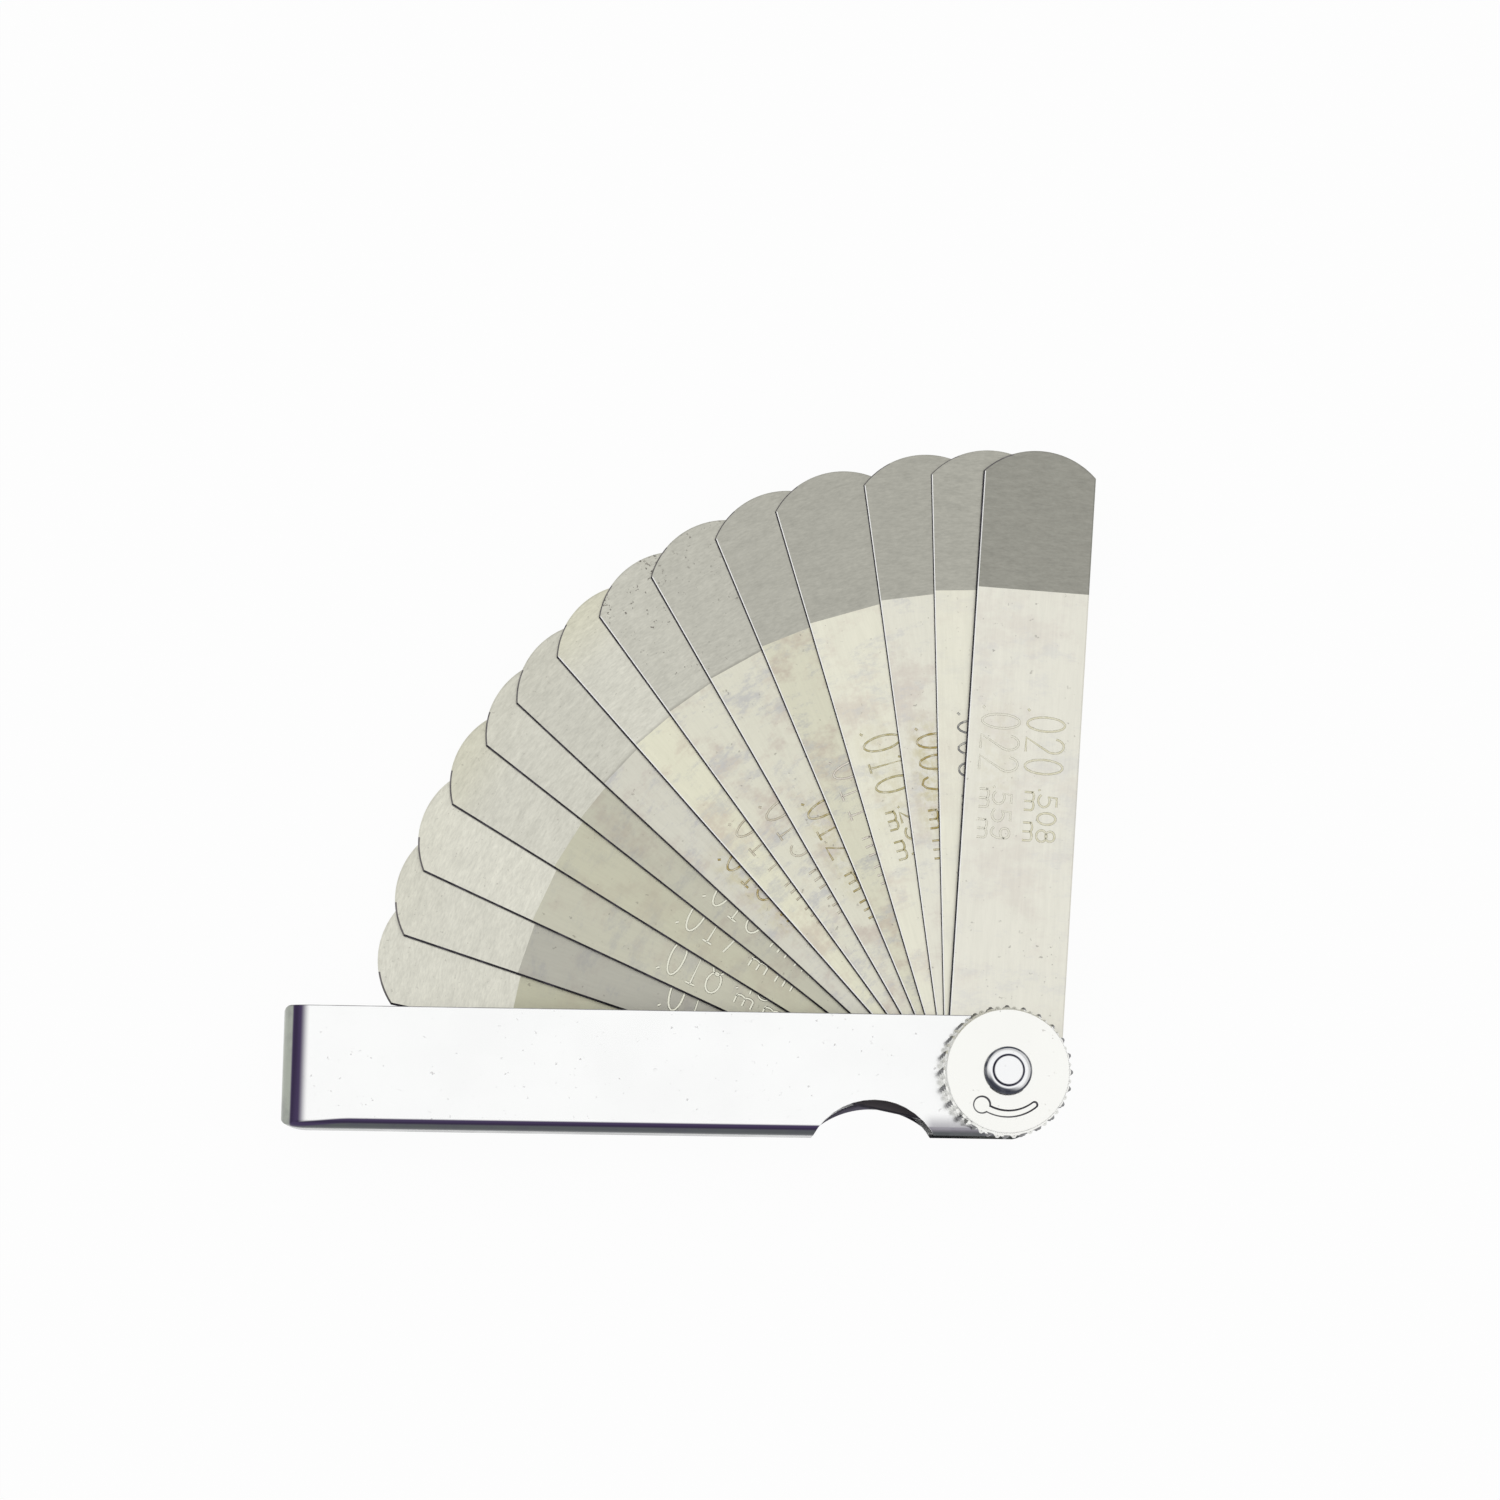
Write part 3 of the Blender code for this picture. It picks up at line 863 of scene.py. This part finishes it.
def makeLip():
    # back edge of the thumb notch, pressed a little lower than the front one
    f = caseForm
    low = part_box("case")[0]
    top = low.y + f["notchDepth"]
    foot = top + math.sqrt(f["notchRadius"] ** 2 - f["lipHalf"] ** 2) - f["notchRadius"]
    rise = top - f["lipDepth"] - foot
    lipRadius = (f["lipHalf"] ** 2 + rise ** 2) / (2 * rise)
    upper = []
    lower = []
    for i in range(f["lipSteps"] + 1):
        across = f["lipHalf"] * (2 * i / f["lipSteps"] - 1)
        drop = f["notchRadius"] - math.sqrt(f["notchRadius"] ** 2 - across ** 2)
        lipDrop = lipRadius - math.sqrt(lipRadius ** 2 - across ** 2)
        upper.append((f["notchPlace"] + across, top - drop + f["lipSunk"]))
        lower.append((f["notchPlace"] + across, top - f["lipDepth"] - lipDrop))
    outline = upper + lower[::-1]
    inset = f["lipInset"]
    lip = sunkShape("notch_lip", outline, outline, low.z + inset, low.z + f["sheet"] - inset)
    lip.data.materials.append(platedMaterial("notchLip", caseFinish, lipShading))
    seat(lip, "case", "case_sheet")


def makeCase():
    case = copyOfNode("case", "case_sheet")
    easeCorner(case)
    softenEdges(case, caseFinish["edge"])
    evenNormals(case)
    bakeModifiers(case)
    case.data.materials.append(platedMaterial("platedSheet", caseFinish, caseShading))
    seat(case, "case", "case_sheet", "case")
    makeLip()
    print("case made:", len(case.data.polygons), "faces")


# Pivot screw

screwFinish = {
    "colour": (0.945, 0.95, 0.955),
    "speckColour": (0.35, 0.34, 0.33),
    "speckAmount": 0.5,
    # painted shade for the dome, the crease and the rim
    "shadingColour": (0.06, 0.065, 0.085),
    "roughness": 0.20,
    "waveScale": 300.0,
    "wave": 0.15,
    "speckScale": 1600.0,
    "creaseColour": (0.15, 0.15, 0.20),
    "crease": (1.50 * mm, 1.80 * mm),
    "rim": (2.34 * mm, 2.72 * mm),
    "dome": (1.85 * mm, 2.72 * mm),
    "domeSoft": 0.25 * mm,
    "domeSide": (-0.45, -0.89, 0.0),
    "domeFade": (0.7 * mm, 2.0 * mm),
    "clear": 0.1 * mm,
    "mottleNoise": (700.0, 3.0, 0.6),
    "mottleRamp": (0.30, 0.60, 0.75, 1.0),
}

screwForm = {
    "headRadius": 6.0 * mm,
    "headChamfer": 0.3 * mm,
    "headHeight": 1.2 * mm,
    "neckRadius": 2.6 * mm,
    "neckTop": 1.85 * mm,
    "shankRadius": 2.38 * mm,
    "peenRadius": 2.6 * mm,
    "peenInner": 1.72 * mm,
    "buttonRadius": 1.58 * mm,
    "buttonHeight": 0.25 * mm,
    "buttonRound": 0.16 * mm,
    "crease": 0.12 * mm,
    "nutPlay": 0.3 * mm,
    "steps": 96,
    "domeSteps": 12,
    "buttonSteps": 6,
}


def screwShading(tree, place):
    # painted shade in the crease round the button and under the rim of the peened end
    f = screwFinish
    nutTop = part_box("lock_nut")[1].z
    crease = ringMask(tree, place, f["crease"])
    rim = ringMask(tree, place, f["rim"])
    above = ramp(tree, axesOf(tree, place)["Z"], nutTop, nutTop + f["clear"])
    mottle = ramp(tree, noise(tree, place, *f["mottleNoise"]), *f["mottleRamp"])
    # painted shade: the dome is darker on the side away from the blades
    dome = ringMask(tree, place, f["dome"], Soft=f["domeSoft"])
    side = vectorMaths(tree, "DOT_PRODUCT", place, f["domeSide"])["Value"]
    shaded = product(tree, dome, ramp(tree, side, *f["domeFade"]))
    rings = ((shaded, f["shadingColour"]), (crease, f["creaseColour"]), (rim, f["shadingColour"]))
    return [(product(tree, ring, above, mottle), shade) for ring, shade in rings]


def screwProfile():
    # half section from the middle of the head to the middle of the button
    s = screwForm
    low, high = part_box("pivot_screw")
    domeTop = high.z - s["buttonHeight"]
    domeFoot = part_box("lock_nut")[1].z + s["nutPlay"]
    chamfer = s["headChamfer"]
    head = [(0, low.z), (s["headRadius"] - chamfer, low.z), (s["headRadius"], low.z + chamfer),
            (s["headRadius"], s["headHeight"]), (s["neckRadius"], s["headHeight"])]
    shank = [(s["neckRadius"], s["neckTop"]), (s["shankRadius"], s["neckTop"]), (s["shankRadius"], domeFoot)]
    bulge = (s["peenRadius"] - s["peenInner"], domeTop - domeFoot)
    dome = arcPoints((s["peenInner"], domeFoot), *bulge, 0, 90, s["domeSteps"])
    turn = s["buttonRound"]
    corner = (s["buttonRadius"] - turn, high.z - turn)
    button = arcPoints(corner, turn, turn, 0, 90, s["buttonSteps"])
    return [*head, *shank, *dome, (s["buttonRadius"], domeTop - s["crease"]), *button, (0, high.z)]


def makeScrew():
    screw = turned("screw_body", screwProfile(), screwForm["steps"], False)
    screw.data.shade_smooth()
    screw.data.set_sharp_from_angle(angle=math.radians(sharpDeg))
    screw.data.materials.append(platedMaterial("turnedScrew", screwFinish, screwShading))
    seat(screw, "case", "screw_steel", "pivot_screw")
    print("screw made")


# Knurled lock nut

nutForm = {
    "faceRadius": 6.60 * mm,
    "rootRadius": 6.75 * mm,
    "bore": 2.45 * mm,
    "edge": 0.30 * mm,
    "knurlRound": 24,
    "knurlRows": 3,
    "knurlDepth": 0.44 * mm,
    "knurlFlat": 0.20,
    "knurlFill": 0.76,
    "headSteps": 32,
    "tailSteps": 24,
    "capSteps": 8,
    "sunk": 0.22 * mm,
    "markCircle": 4.65 * mm,
    "markDepth": 0.4 * mm,
    "markTaper": 0.20 * mm,
    "markHead": 1.0 * mm,
    "markHeadDeg": 233.0,
    "markTailDeg": 308.5,
    "markWide": 0.95 * mm,
    "markNarrow": 0.82 * mm,
    "soft": 0.08 * mm,
    "steps": 96,
}

nutFinish = {
    "colour": (0.965, 0.965, 0.93),
    "speckColour": (0.40, 0.38, 0.34),
    "speckAmount": 0.5,
    # painted shade on the turn mark's walls, and painted dark reflection on the knurl points
    "shadingColour": (0.10, 0.098, 0.12),
    "tipColour": (0.80, 0.80, 0.77),
    "outerColour": (0.22, 0.22, 0.225),
    "outerRows": (0.30 * mm, 0.50 * mm),
    "roughness": 0.24,
    "waveScale": 220.0,
    "wave": 0.15,
    "speckScale": 1500.0,
    "tips": (6.90 * mm, 7.40 * mm),
    "pocket": (3.2 * mm, 6.0 * mm),
    "wallFade": (0.02 * mm, 0.05 * mm),
}


def turned(name, profile, steps, ring=True):
    # turned from a profile of (radius, height): a ring, or a solid that starts and ends on the axis
    bm = bmesh.new()
    verts = [bm.verts.new((radius, 0, height)) for radius, height in profile]
    edges = [bm.edges.new((verts[i - 1], verts[i])) for i in range(0 if ring else 1, len(verts))]
    axis = {"cent": (0, 0, 0), "axis": (0, 0, 1), "dvec": (0, 0, 0)}
    bmesh.ops.spin(bm, geom=verts + edges, angle=math.tau, steps=steps, use_merge=True, **axis)
    bmesh.ops.remove_doubles(bm, verts=bm.verts, dist=weldGap)
    bmesh.ops.recalc_face_normals(bm, faces=bm.faces)
    return newObject(name, bm)


def sunkShape(name, lower, upper, low, high):
    # a tapered plug between two outlines with the same number of points
    bm = bmesh.new()
    floor = [bm.verts.new((x, y, low)) for x, y in lower]
    roof = [bm.verts.new((x, y, high)) for x, y in upper]
    bm.faces.new(floor)
    bm.faces.new(roof)
    for i in range(len(floor)):
        bm.faces.new((floor[i - 1], floor[i], roof[i], roof[i - 1]))
    bmesh.ops.recalc_face_normals(bm, faces=bm.faces)
    return newObject(name, bm)


def markHeadOutline(grow):
    f = nutForm
    turn = math.radians(f["markHeadDeg"])
    centre = (f["markCircle"] * math.cos(turn), f["markCircle"] * math.sin(turn))
    return arcPoints(centre, f["markHead"] + grow, f["markHead"] + grow, 0, 360, f["headSteps"])[:-1]


def markTailOutline(grow):
    f = nutForm
    steps = f["tailSteps"]
    sides = ([], [])
    for i in range(steps + 1):
        share = i / steps
        angle = math.radians(f["markHeadDeg"] + (f["markTailDeg"] - f["markHeadDeg"]) * share)
        half = (f["markWide"] + (f["markNarrow"] - f["markWide"]) * share) / 2 + grow
        for side, radius in zip(sides, (f["markCircle"] + half, f["markCircle"] - half)):
            side.append((radius * math.cos(angle), radius * math.sin(angle)))
    # half round at the narrow end
    tip = (f["markCircle"] * math.cos(angle), f["markCircle"] * math.sin(angle))
    cap = arcPoints(tip, half, half, f["markTailDeg"], f["markTailDeg"] + 180, f["capSteps"])[1:-1]
    return sides[0] + cap + sides[1][::-1]


def turnMarkCutters(top):
    f = nutForm
    low = top - f["markDepth"]
    high = top + f["markDepth"]
    taper = f["markTaper"]
    head = sunkShape("markHead", markHeadOutline(-taper), markHeadOutline(taper), low, high)
    tail = sunkShape("markTail", markTailOutline(-taper), markTailOutline(taper), low, high)
    return head, tail


def nutShading(tree, place):
    # painted dark reflection on the knurl points, most in the outer rows; painted shade on the turn mark's
    # walls
    f = nutFinish
    bottom, top = (corner.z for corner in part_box("lock_nut"))
    low = top - nutForm["markDepth"]
    near, far = f["wallFade"]
    tips = ringMask(tree, place, f["tips"])
    level = axesOf(tree, place)["Z"]
    offFloor = ramp(tree, level, low + near, low + far)
    offTop = ramp(tree, level, top - far, top - near, 1.0, 0.0)
    walls = product(tree, ringMask(tree, place, f["pocket"]), offFloor, offTop)
    offMiddle = maths(tree, "ABSOLUTE", maths(tree, "SUBTRACT", level, (bottom + top) / 2))
    outer = product(tree, tips, ramp(tree, offMiddle, *f["outerRows"]))
    return [(tips, f["tipColour"]), (outer, f["outerColour"]), (walls, f["shadingColour"])]


def knurlTree(material, sizes):
    # rows of diamonds round the rim, each row turned half a step from the last
    tree = bpy.data.node_groups.new("diamond knurl", "GeometryNodeTree")
    for label, value in sizes.items():
        kind = "NodeSocketInt" if isinstance(value, int) else "NodeSocketFloat"
        tree.interface.new_socket(label, in_out="INPUT", socket_type=kind)
    tree.interface.new_socket("Geometry", in_out="OUTPUT", socket_type="NodeSocketGeometry")
    into = addNode(tree, "NodeGroupInput").outputs
    out = addNode(tree, "NodeGroupOutput").inputs
    point = {"Vertices": 4, "Radius Bottom": 1.0, "Radius Top": into["Flat"], "Depth": into["Depth"]}
    cone = wired(tree, "GeometryNodeMeshCone", point)["Mesh"]
    size = joined(tree, into["Half Width"], into["Half Height"], 1.0)
    diamond = wired(tree, "GeometryNodeTransform", {"Geometry": cone, "Scale": size})["Geometry"]
    upright = {"Geometry": diamond, "Rotation": (math.pi / 2, 0, math.pi / 2)}
    outward = wired(tree, "GeometryNodeTransform", upright)["Geometry"]
    spread = {"Vertices": into["Round"], "Radius": into["Radius"]}
    circle = wired(tree, "GeometryNodeMeshCircle", spread)["Mesh"]
    away = {"Vector": addNode(tree, "GeometryNodeInputPosition").outputs[0]}
    facing = wired(tree, "FunctionNodeAlignRotationToVector", away, axis="X", pivot_axis="Z")["Rotation"]
    around = {"Points": circle, "Instance": outward, "Rotation": facing}
    ring = wired(tree, "GeometryNodeInstanceOnPoints", around)["Instances"]
    levels = {"Count": into["Rows"], "Start Location": joined(tree, z=into["Start"]),
              "Offset": joined(tree, z=into["Row Step"])}
    column = wired(tree, "GeometryNodeMeshLine", levels)["Mesh"]
    odd = maths(tree, "MODULO", addNode(tree, "GeometryNodeInputIndex").outputs[0], 2.0)
    halfStep = maths(tree, "DIVIDE", math.pi, into["Round"])
    stacked = {"Points": column, "Instance": ring, "Rotation": joined(tree, z=product(tree, odd, halfStep))}
    rows = wired(tree, "GeometryNodeInstanceOnPoints", stacked)["Instances"]
    real = wired(tree, "GeometryNodeRealizeInstances", {"Geometry": rows})["Geometry"]
    dressed = wired(tree, "GeometryNodeSetMaterial", {"Geometry": real, "Material": material})["Geometry"]
    tree.links.new(dressed, out["Geometry"])
    return tree


def makeKnurl(bottom, top, material):
    f = nutForm
    halfHeight = (top - bottom) / (f["knurlRows"] + 1)
    sizes = {
        "Round": f["knurlRound"],
        "Rows": f["knurlRows"],
        "Radius": f["rootRadius"] - f["sunk"],
        "Start": bottom + halfHeight,
        "Row Step": halfHeight,
        "Half Width": math.pi * f["rootRadius"] / f["knurlRound"] * f["knurlFill"],
        "Half Height": halfHeight * f["knurlFill"],
        "Depth": f["knurlDepth"] + f["sunk"],
        "Flat": f["knurlFlat"],
    }
    knurl = newObject("nut_knurl", bmesh.new())
    modifier = knurl.modifiers.new("knurl", "NODES")
    modifier.node_group = knurlTree(material, sizes)
    for item in modifier.node_group.interface.items_tree:
        if item.in_out == "INPUT":
            modifier[item.identifier] = sizes[item.name]
    bakeModifiers(knurl)
    seat(knurl, "lock_nut", "nut_plating")
    print("knurl made:", len(knurl.data.polygons), "faces")


def makeNut():
    f = nutForm
    low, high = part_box("lock_nut")
    rim = f["edge"]
    profile = [(f["bore"], low.z), (f["faceRadius"], low.z), (f["rootRadius"], low.z + rim),
               (f["rootRadius"], high.z - rim), (f["faceRadius"], high.z), (f["bore"], high.z)]
    nut = turned("nut_body", profile, f["steps"])
    cutters = turnMarkCutters(high.z)
    for cutter in cutters:
        cut = nut.modifiers.new("turn mark", "BOOLEAN")
        cut.operation = "DIFFERENCE"
        cut.solver = "EXACT"
        cut.object = cutter
    softenEdges(nut, f["soft"])
    evenNormals(nut)
    bakeModifiers(nut)
    for cutter in cutters:
        bpy.data.objects.remove(cutter)
    material = platedMaterial("platedNut", nutFinish, nutShading)
    nut.data.materials.clear()
    nut.data.materials.append(material)
    seat(nut, "lock_nut", "nut_plating", "lock_nut")
    makeKnurl(low.z, high.z, material)
    print("nut made")


# Camera at the photograph's angle

photoView = {
    "framePixels": 1500.0,
    "focalPixels": 3614.0,
    "distance": 400.0 * mm,
    "tiltDeg": -9.05,
    "turnDeg": 1.56,
    "rollDeg": -0.79,
    "pivotPixel": (999.9, 1076.2),
    "pivotHeight": 4.25 * mm,
    "sensor": 36.0,
    "clip": (10 * mm, 20.0),
}


def makeCamera():
    v = photoView
    tilt = Matrix.Rotation(math.radians(v["tiltDeg"]), 3, "X")
    turn = Matrix.Rotation(math.radians(v["turnDeg"]), 3, "Y")
    roll = Matrix.Rotation(math.radians(v["rollDeg"]), 3, "Z")
    toCamera = roll @ tilt @ turn
    middle = v["framePixels"] / 2
    right = (v["pivotPixel"][0] - middle) / v["focalPixels"] * v["distance"]
    down = (v["pivotPixel"][1] - middle) / v["focalPixels"] * v["distance"]
    toWorld = toCamera.transposed()
    place = Vector((0, 0, v["pivotHeight"])) - toWorld @ Vector((right, -down, -v["distance"]))
    data = bpy.data.cameras.new("photoCamera")
    data.sensor_width = v["sensor"]
    data.lens = v["focalPixels"] * v["sensor"] / v["framePixels"]
    data.clip_start, data.clip_end = v["clip"]
    camera = bpy.data.objects.new("photoCamera", data)
    bpy.context.scene.collection.objects.link(camera)
    camera.matrix_world = Matrix.Translation(place) @ toWorld.to_4x4()
    bpy.context.scene.camera = camera
    print("camera placed")


# Floor and studio light

studio = {
    "floorSize": 3.0,
    "floorDrop": 0.05 * mm,
    "floorColour": (0.86, 0.86, 0.86),
    "floorWhite": 0.95,
    "room": 0.62,
    "skyColour": (1.0, 1.0, 1.0),
    "panelUp": (0.62, 0.86),
    "backdropUp": (0.30, 0.50),
}


def seenDirectly(tree):
    # camera, glossy and transmission rays see the white background
    path = addNode(tree, "ShaderNodeLightPath").outputs
    clear = maths(tree, "MAXIMUM", path["Is Camera Ray"], path["Is Transmission Ray"])
    return maths(tree, "MAXIMUM", clear, path["Is Glossy Ray"])


def makeFloor():
    s = studio
    half = s["floorSize"] / 2
    bm = bmesh.new()
    corners = ((-half, -half), (half, -half), (half, half), (-half, half))
    bm.faces.new([bm.verts.new((x, y, cadLow.z - s["floorDrop"])) for x, y in corners])
    floor = newObject("floor", bm)
    material = bpy.data.materials.new("paleFloor")
    material.use_nodes = True
    tree = material.node_tree
    tree.nodes.remove(tree.nodes["Principled BSDF"])
    matte = wired(tree, "ShaderNodeBsdfDiffuse", {"Color": rgb(s["floorColour"])})[0]
    white = addNode(tree, "ShaderNodeEmission").outputs[0]
    share = product(tree, seenDirectly(tree), s["floorWhite"])
    mixed = wired(tree, "ShaderNodeMixShader", {0: share, 1: matte, 2: white})[0]
    tree.links.new(mixed, tree.nodes["Material Output"].inputs["Surface"])
    floor.data.materials.append(material)


def makeWorld():
    # soft light: bright overhead, and a white backdrop low down
    s = studio
    world = bpy.data.worlds.new("studio")
    bpy.context.scene.world = world
    world.use_nodes = True
    tree = world.node_tree
    sky = tree.nodes["Background"]
    up = axesOf(tree, addNode(tree, "ShaderNodeTexCoord").outputs["Generated"])["Z"]
    panel = ramp(tree, up, *s["panelUp"], s["room"], 1.0)
    backdrop = maths(tree, "MULTIPLY", seenDirectly(tree), ramp(tree, up, *s["backdropUp"], 1.0, 0.0))
    tree.links.new(mixValue(tree, backdrop, panel, 1.0), sky.inputs["Strength"])
    sky.inputs["Color"].default_value = rgb(s["skyColour"])


makeBlades()
makeCase()
makeScrew()
makeNut()
makeCamera()
makeFloor()
makeWorld()
bpy.context.scene.view_settings.view_transform = "Standard"
print("studio set")
